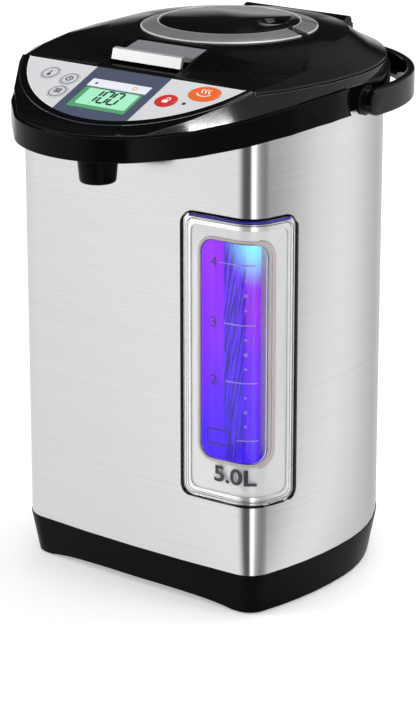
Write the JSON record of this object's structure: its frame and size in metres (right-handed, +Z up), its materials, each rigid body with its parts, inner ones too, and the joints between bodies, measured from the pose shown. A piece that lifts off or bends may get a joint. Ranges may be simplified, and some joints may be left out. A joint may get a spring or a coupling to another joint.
{
  "type": "electric thermo pot",
  "caption": "Electric hot-water dispenser with a brushed steel body, lit level window, pumped spout under the nose, key panel, hinged lid and swinging handle.",
  "frame": {"origin": "middle of the footprint on the table, between the feet", "axes": "+Z up, spout and control panel towards -Y, carrying handle towards +Y, level window at the +X -Y corner"},
  "size_m": [0.232, 0.2935, 0.3506],
  "materials": {
    "backlight": "lit",
    "board": "satin",
    "brass": "plain",
    "bright_steel": "turned",
    "clear_cover": "clear",
    "clear_tube": "clear",
    "display_green": "lit display",
    "electric": "satin",
    "gloss_black": "gloss",
    "header_grey": "satin",
    "heater_metal": "cast",
    "inner_black": "matt",
    "key_grey": "satin",
    "key_orange": "satin",
    "key_red": "satin",
    "lamp": "lit",
    "latch_grey": "satin",
    "pump_white": "satin",
    "ring_silver": "metallised",
    "rubber": "matt",
    "satin_black": "satin",
    "silicone": "matt",
    "silver_plate": "satin metallic",
    "slate_band": "satin",
    "stainless": "brushed",
    "window_silver": "satin"
  },
  "bodies": {
    "housing": {"base_shell": "satin_black", "bottom_plate": "inner_black", "rubber_feet": "rubber", "base_screws": "bright_steel", "body_shell": "stainless", "window_cover": "clear_cover", "window_panel": "window_silver", "window_backlight": "backlight", "sight_tube": "clear_tube", "window_lamps": "lamp", "inner_pot": "stainless", "pot_gasket": "silicone", "pot_posts": "inner_black", "heater_plate": "heater_metal", "heater_ring": "heater_metal", "thermostat": "electric", "thermal_fuse": "brass", "pump_housing": "inner_black", "pump_cover": "inner_black", "pump_motor": "bright_steel", "pot_outlet_hose": "silicone", "gauge_hose": "silicone", "spout_hose": "silicone", "power_board": "board", "power_board_parts": "electric", "power_inlet": "satin_black", "inlet_pins": "brass", "shoulder": "gloss_black", "head_frame": "gloss_black", "head_screws": "bright_steel", "spout_nozzle": "satin_black", "panel_plates": "silver_plate", "panel_band": "slate_band", "display_bezel": "header_grey", "display_window": "display_green", "lock_lamp": "inner_black", "control_board": "board", "hinge_pin": "bright_steel", "handle_hubs": "gloss_black", "handle_pins": "bright_steel"},
    "lid": {"lid_cover": "gloss_black", "lid_frame": "inner_black", "lid_liner": "stainless", "lid_seal": "silicone", "lid_ring": "ring_silver", "ring_tab": "ring_silver", "vent_disc": "gloss_black", "vent_valve": "pump_white", "latch_pin": "bright_steel", "latch_spring": "bright_steel"},
    "latch": {"latch_lever": "latch_grey"},
    "handle": {"handle_bail": "gloss_black"},
    "impeller": {"pump_impeller": "pump_white"},
    "temperature_button": {"temperature_button": "key_grey"},
    "timer_button": {"timer_button": "key_grey"},
    "reboil_button": {"reboil_button": "key_grey"},
    "unlock_button": {"unlock_button": "key_red"},
    "dispense_button": {"dispense_button": "key_orange"}
  },
  "joints": [
    {"name": "lid_hinge", "type": "hinge", "parent": "housing", "child": "lid", "pos_m": [0, 0.082, 0.34], "axis": [-1, 0, 0], "range_deg": [0, 80]},
    {"name": "latch_hinge", "type": "hinge", "parent": "lid", "child": "latch", "pos_m": [0, -0.0556, 0.3422], "axis": [-1, 0, 0], "range_deg": [0, 20], "stiffness_Nm_per_rad": 0.02},
    {"name": "handle_hinge", "type": "hinge", "parent": "housing", "child": "handle", "pos_m": [0, -0.002, 0.314], "axis": [1, 0, 0], "range_deg": [0, 90]},
    {"name": "impeller_spin", "type": "hinge", "parent": "housing", "child": "impeller", "pos_m": [0.038, -0.054, 0.05], "axis": [0, 0, 1], "continuous": true},
    {"name": "temperature_press", "type": "slide", "parent": "housing", "child": "temperature_button", "axis": [0, 0.3551, -0.9348], "range_m": [0, 0.0008], "stiffness_N_per_m": 300, "springref_m": -0.0004},
    {"name": "timer_press", "type": "slide", "parent": "housing", "child": "timer_button", "axis": [0, 0.3551, -0.9348], "range_m": [0, 0.0008], "stiffness_N_per_m": 300, "springref_m": -0.0004},
    {"name": "reboil_press", "type": "slide", "parent": "housing", "child": "reboil_button", "axis": [0, 0.3551, -0.9348], "range_m": [0, 0.0008], "stiffness_N_per_m": 300, "springref_m": -0.0004},
    {"name": "unlock_press", "type": "slide", "parent": "housing", "child": "unlock_button", "axis": [0, 0.3551, -0.9348], "range_m": [0, 0.0008], "stiffness_N_per_m": 300, "springref_m": -0.0004},
    {"name": "dispense_press", "type": "slide", "parent": "housing", "child": "dispense_button", "axis": [0, 0.3551, -0.9348], "range_m": [0, 0.0008], "stiffness_N_per_m": 300, "springref_m": -0.0004}
  ]
}
